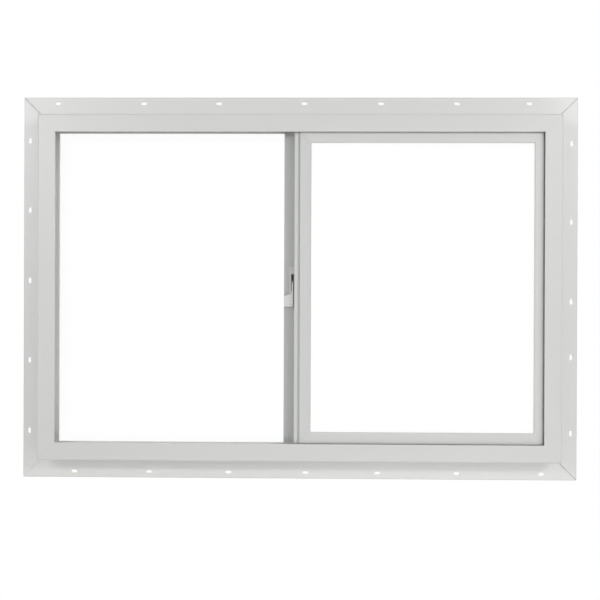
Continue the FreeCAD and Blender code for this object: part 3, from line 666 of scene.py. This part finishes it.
def fin_weld(name, way_x, way_z, width):
    """Weld flash through one corner of the fin: a low uneven ridge along the mitre, on both faces."""
    size = bpy.context.scene.window_welds
    inner = Vector((way_x * FRAME_HALF_WIDTH, 0, FRAME_MIDDLE.z + way_z * FRAME_HALF_HEIGHT))
    outer = inner + Vector((way_x * FIN_WIDTH, 0, way_z * FIN_WIDTH))
    along = outer - inner
    corner_seed = int(3 + way_x + 2 * way_z)
    deselect()
    bpy.ops.mesh.primitive_cube_add(size=1)
    weld = named(name)
    weld.scale = (along.length - 2 * width, FIN_BACK + 2 * size.rise, width)
    bake_place(weld)
    length = weld.dimensions.x

    def runs_along(edge):
        first, last = (weld.data.vertices[index].co for index in edge.vertices)
        return abs(first.x - last.x) > length / 2

    pick(weld, "EDGE", runs_along)
    bpy.ops.mesh.bevel(offset=size.rise * WELD_ROUNDING, segments=WELD_FACETS, affect="EDGES")
    pick(weld, "EDGE", runs_along)
    bpy.ops.mesh.subdivide(number_cuts=WELD_CUTS)
    pick(weld, "VERT", lambda vertex: abs(vertex.co.x) < length / 2 - width / 2)
    bpy.ops.transform.vertex_random(offset=size.ripple, uniform=WELD_EVENNESS, seed=corner_seed)
    deselect()
    weld.location = (inner + outer) / 2 + Vector((0, FIN_BACK / 2, 0))
    weld.rotation_euler = (0, -math.atan2(along.z, along.x), 0)
    bake_place(weld)
    bpy.ops.object.shade_smooth_by_angle(angle=WELD_SMOOTHING)
    return weld


def brush_seal(name, node):
    """Brush seal: a woven backing on the sash, and rows of splayed tufts that reach the frame's stop."""
    size = bpy.context.scene.window_brushes
    low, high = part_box(node)
    upright = high.z - low.z > high.x - low.x
    length = high.z - low.z if upright else high.x - low.x
    width = high.x - low.x if upright else high.z - low.z
    reach = high.y - low.y
    deselect()
    bpy.ops.mesh.primitive_cube_add(size=1)
    backing = named(name)
    backing.scale = (length, size.backing, width)
    backing.location = (0, size.backing / 2, 0)
    bake_place(backing)

    def on_outer_face(edge):
        return all(backing.data.vertices[index].co.y > size.backing / 2 for index in edge.vertices)

    pick(backing, "EDGE", on_outer_face)
    bpy.ops.mesh.bevel(offset=size.backing / 3, segments=BACKING_FACETS, affect="EDGES")
    deselect()
    row_width = width / size.rows
    tuft_height = reach - size.backing - size.splay / 2
    tuft_middle = size.backing + tuft_height / 2
    bpy.ops.mesh.primitive_cone_add(vertices=TUFT_SIDES, radius1=row_width * TUFT_ROOT_SHARE,
                                    radius2=row_width * TUFT_TIP_SHARE, depth=tuft_height,
                                    end_fill_type="NOTHING", rotation=(-math.pi / 2, 0, 0))
    tufts = named(name + "_tufts")
    tufts.location = (-(length - size.pitch) / 2, tuft_middle, -(width - row_width) / 2)
    bake_place(tufts)
    for offset, count in (((size.pitch, 0, 0), int(length / size.pitch)), ((0, 0, row_width), size.rows)):
        row = tufts.modifiers.new("row", "ARRAY")
        row.use_relative_offset = False
        row.use_constant_offset = True
        row.constant_offset_displace = offset
        row.count = count
        bpy.ops.object.modifier_apply(modifier=row.name)
    pick(tufts, "VERT", lambda vertex: vertex.co.y > tuft_middle)
    bpy.ops.transform.vertex_random(offset=size.splay, uniform=1.0, seed=len(node))
    take(backing)
    tufts.select_set(True)
    bpy.ops.object.join()
    backing.location = ((low.x + high.x) / 2, low.y, (low.z + high.z) / 2)
    backing.rotation_euler = (0, math.pi / 2 if upright else 0, 0)
    bake_place(backing)
    return backing


def pan_head(name):
    """Head of a pan head screw: domed, with a cross recess, standing on Z."""
    size = bpy.context.scene.window_hardware
    deselect()
    bpy.ops.mesh.primitive_cylinder_add(vertices=HEAD_SIDES, radius=size.head_radius, depth=size.head_height,
                                        location=(0, 0, size.head_height / 2))
    head = named(name)
    bake_place(head)

    def on_top_rim(edge):
        return all(head.data.vertices[index].co.z > size.head_height / 2 for index in edge.vertices)

    pick(head, "EDGE", on_top_rim)
    bpy.ops.mesh.bevel(offset=size.head_height * DOME_SHARE, segments=DOME_FACETS, affect="EDGES")
    deselect()
    for turn in (0, math.pi / 2):
        bpy.ops.mesh.primitive_cube_add(size=1, location=(0, 0, size.head_height), rotation=(0, 0, turn))
        cutter = named(name + "_cutter")
        cutter.scale = (size.head_radius * RECESS_SHARE, size.recess_width, size.head_height)
        bake_place(cutter)
        take(head)
        recess = head.modifiers.new("recess", "BOOLEAN")
        recess.operation = "DIFFERENCE"
        recess.object = cutter
        bpy.ops.object.modifier_apply(modifier=recess.name)
        bpy.data.objects.remove(cutter)
    take(head)
    bpy.ops.object.shade_smooth_by_angle(angle=HEAD_SMOOTHING)
    return head


class WINDOW_OT_vinyl(bpy.types.Operator):
    """Finishes the frame, the sash, the stiles and the beads in white vinyl"""

    bl_idname = "window.vinyl"
    bl_label = "Vinyl"

    def execute(self, context):
        frame_mitres = (FRAME_MIDDLE, FRAME_HALF_WIDTH, FRAME_HALF_HEIGHT)
        sash_mitres = (SASH_MIDDLE, SASH_HALF_WIDTH, SASH_HALF_HEIGHT)
        dress(FRAME_LEVEL, vinyl_finish("vinyl_frame_level", "X", frame_mitres))
        dress(FRAME_UPRIGHT, vinyl_finish("vinyl_frame_upright", "Z", frame_mitres))
        dress(SASH_LEVEL, vinyl_finish("vinyl_sash_level", "X", sash_mitres))
        dress(SASH_UPRIGHT, vinyl_finish("vinyl_sash_upright", "Z", sash_mitres))
        dress(FLANGED, vinyl_finish("vinyl_sash_flanged", "Z", sash_mitres, flanged=True))
        dress(BEADS_LEVEL, vinyl_finish("vinyl_bead_level", "X"))
        dress(BEADS_UPRIGHT, vinyl_finish("vinyl_bead_upright", "Z"))
        return {"FINISHED"}


class WINDOW_OT_glazing(bpy.types.Operator):
    """Finishes the panes, spacer bars, glazing tape and setting blocks"""

    bl_idname = "window.glazing"
    bl_label = "Glazing"

    def execute(self, context):
        dress(PANES, glass_finish("clear_float_glass"))
        dress(SPACERS, spacer_finish("mill_aluminium"))
        dress(TAPES, tape_finish("foam_tape"))
        dress(BLOCKS, rubber_finish("block_rubber"))
        return {"FINISHED"}


class WINDOW_OT_hardware(bpy.types.Operator):
    """Finishes the latch and the glides"""

    bl_idname = "window.hardware"
    bl_label = "Latch and glides"

    def execute(self, context):
        look = context.scene.window_hardware
        dress(LATCH_HOUSING, moulded_finish("housing_plastic", look.housing, roughness=0.4, shade=0.15))
        dress(LATCH_SLIDE, moulded_finish("latch_plastic", look.latch, roughness=0.3, shade=0.15))
        dress(GLIDES, moulded_finish("glide_nylon", look.nylon, roughness=0.45, shade=0.3))
        return {"FINISHED"}


class WINDOW_OT_welds(bpy.types.Operator):
    """Adds the weld flash on the fin's four corners"""

    bl_idname = "window.welds"
    bl_label = "Corner welds"

    def execute(self, context):
        size = context.scene.window_welds
        corners = (("top_left", -1, 1), ("top_right", 1, 1), ("bottom_left", -1, -1), ("bottom_right", 1, -1))
        for (corner, way_x, way_z), width, dirt in zip(corners, size.widths, size.dirt):
            weld = fin_weld(f"fin_weld_{corner}", way_x, way_z, width)
            finish_piece(weld, weld_finish(f"weld_{corner}", dirt), "frame")
        return {"FINISHED"}


class WINDOW_OT_brushes(bpy.types.Operator):
    """Adds the brush seals behind the sash"""

    bl_idname = "window.brushes"
    bl_label = "Brush seals"

    def execute(self, context):
        material = pile_finish("grey_pile")
        for node in PILES:
            brush = brush_seal(node.replace("pile", "brush"), node)
            finish_piece(brush, material, "sash")
            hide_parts(node)
        return {"FINISHED"}


class WINDOW_OT_screws(bpy.types.Operator):
    """Adds the screws that hold the fixed meeting stile to the head and the sill"""

    bl_idname = "window.screws"
    bl_label = "Stile screws"

    def execute(self, context):
        material = zinc_finish("zinc_plate")
        size = context.scene.window_hardware
        low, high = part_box("fixed_meeting_stile")
        middle = (low.x + high.x) / 2
        rows = (("room", -2 * size.head_radius), ("outer", (FIN_BACK + high.y) / 2))
        faces = (("head", FRAME_MIDDLE.z + FRAME_HALF_HEIGHT, 0),
                 ("sill", FRAME_MIDDLE.z - FRAME_HALF_HEIGHT, math.pi))
        model = pan_head("stile_screw")
        for face, height, turn in faces:
            for row, depth in rows:
                screw = model.copy()
                screw.data = model.data.copy()
                screw.name = f"stile_screw_{face}_{row}"
                context.collection.objects.link(screw)
                screw.location = (middle, depth, height)
                screw.rotation_euler = (turn, 0, 0)
                bake_place(screw)
                finish_piece(screw, material, "frame")
        bpy.data.objects.remove(model)
        return {"FINISHED"}


def looked_at(nodes):
    """1 for rays that look, from the camera, in a reflection or through glass, and 0 for light."""
    path = nodes.add("ShaderNodeLightPath", {}, {}, "Is Camera Ray")
    return path.larger(path.output("Is Glossy Ray")).larger(path.output("Is Transmission Ray"))


def white_world(stage):
    """World that is white to look at, and lights softly, most from the backdrop."""
    world = bpy.data.worlds.new("studio")
    bpy.context.scene.world = world
    nodes = Nodes(world)
    direction = nodes.add("ShaderNodeTexCoord", {}, {}, "Generated")
    depth = nodes.axes(direction)[1]
    strength = depth.ramp(0.0, 1.0, stage.room, stage.backdrop)
    light = nodes.add("ShaderNodeBackground", {}, {"Strength": strength})
    white = nodes.add("ShaderNodeBackground", {}, {"Color": colour(WHITE), "Strength": 1.0})
    nodes.show(nodes.mix_shaders(looked_at(nodes), light, white), "ShaderNodeOutputWorld")


def floor_finish(name):
    """Pale floor that looks white away from the object and keeps its shadow near it."""
    material, nodes = new_finish(name)
    place = nodes.place()
    away = nodes.add("ShaderNodeVectorMath", {"operation": "LENGTH"}, {0: place}, "Value")
    grain = nodes.noise(place, FLOOR_GRAIN, detail=3.0)
    tone = nodes.mix(grain, colour(FLOOR_DARK), colour(FLOOR_PALE))
    pale = nodes.principled({"Base Color": tone, "Roughness": 0.9, "Specular IOR Level": 0.0})
    white = nodes.add("ShaderNodeEmission", {}, {"Color": colour(WHITE), "Strength": 1.0})
    share = looked_at(nodes) * away.ramp(*FLOOR_FADE, low=FLOOR_NEAR_WHITE)
    nodes.show(nodes.mix_shaders(share, pale, white))
    return material


def soft_box(name, place, width, height, power):
    """Soft light aimed at the middle of the window, and not seen itself."""
    deselect()
    bpy.ops.object.light_add(type="AREA", location=place)
    lamp = bpy.context.object
    lamp.name = name
    lamp.rotation_euler = (FRAME_MIDDLE - Vector(place)).to_track_quat("-Z", "Y").to_euler()
    lamp.data.shape = "RECTANGLE"
    lamp.data.size = width
    lamp.data.size_y = height
    lamp.data.energy = power
    lamp.visible_camera = False
    lamp.visible_transmission = False


def light_window(stage):
    """Soft boxes round the window, and the world."""
    white_world(stage)
    soft_box("wide_soft_box", place=(0, -2.2, 0.6), width=2.0, height=0.4, power=stage.wide_power)
    for side, way in (("left", -1), ("right", 1)):
        soft_box(f"{side}_key", place=(way * 1.35, -2.2, 1.1), width=0.35, height=0.3, power=stage.key_power)
    for side, way, power in (("left", -1, stage.left_power), ("right", 1, stage.right_power)):
        soft_box(f"{side}_soft_box", place=(way * 1.65, -1.5, 0.75), width=0.8, height=1.3, power=power)
    soft_box("low_soft_box", place=(0.4, -1.1, -0.30), width=0.8, height=0.3, power=stage.fill_power)
    soft_box("top_soft_box", place=(0, -0.5, 1.9), width=2.0, height=0.8, power=stage.top_power)
    soft_box("back_soft_box", place=(0, 1.8, 1.5), width=2.4, height=0.8, power=stage.back_power)


class WINDOW_OT_stage(bpy.types.Operator):
    """Sets up the floor, the lights, the world and the camera"""

    bl_idname = "window.stage"
    bl_label = "Studio"

    def execute(self, context):
        stage = context.scene.window_stage
        deselect()
        floor_level = FIN_LOW[2] - stage.floor_drop
        bpy.ops.mesh.primitive_plane_add(size=stage.floor_size, location=(0, 0, floor_level))
        floor = named("studio_floor")
        floor.data.materials.append(floor_finish("studio_white"))
        light_window(stage)
        deselect()
        bpy.ops.object.camera_add(location=stage.camera_place, rotation=stage.camera_turn)
        camera = bpy.context.object
        camera.name = "photo_camera"
        camera.data.sensor_fit = "HORIZONTAL"
        camera.data.sensor_width = SENSOR_WIDTH
        camera.data.lens = stage.lens
        context.scene.camera = camera
        context.scene.view_settings.view_transform = "Standard"
        return {"FINISHED"}


class WINDOW_PT_looks(bpy.types.Panel):
    """Lists the steps that dress the window"""

    bl_idname = "WINDOW_PT_looks"
    bl_label = "Sliding window"
    bl_space_type = "VIEW_3D"
    bl_region_type = "UI"
    bl_category = "Window"

    def draw(self, context):
        for step in STEPS:
            self.layout.operator(step.bl_idname)


GROUPS = {
    "window_vinyl": WINDOW_PG_vinyl,
    "window_glazing": WINDOW_PG_glazing,
    "window_hardware": WINDOW_PG_hardware,
    "window_welds": WINDOW_PG_welds,
    "window_brushes": WINDOW_PG_brushes,
    "window_stage": WINDOW_PG_stage,
}
STEPS = (WINDOW_OT_vinyl, WINDOW_OT_glazing, WINDOW_OT_hardware, WINDOW_OT_welds, WINDOW_OT_brushes,
         WINDOW_OT_screws, WINDOW_OT_stage)


def register():
    for name, group in GROUPS.items():
        bpy.utils.register_class(group)
        setattr(bpy.types.Scene, name, bpy.props.PointerProperty(type=group))
    for step in STEPS:
        bpy.utils.register_class(step)
    bpy.utils.register_class(WINDOW_PT_looks)


def unregister():
    bpy.utils.unregister_class(WINDOW_PT_looks)
    for step in reversed(STEPS):
        bpy.utils.unregister_class(step)
    for name, group in reversed(GROUPS.items()):
        delattr(bpy.types.Scene, name)
        bpy.utils.unregister_class(group)


def main():
    register()
    bpy.ops.window.vinyl()
    bpy.ops.window.glazing()
    bpy.ops.window.hardware()
    bpy.ops.window.welds()
    bpy.ops.window.brushes()
    bpy.ops.window.screws()
    bpy.ops.window.stage()


if __name__ == "__main__":
    main()
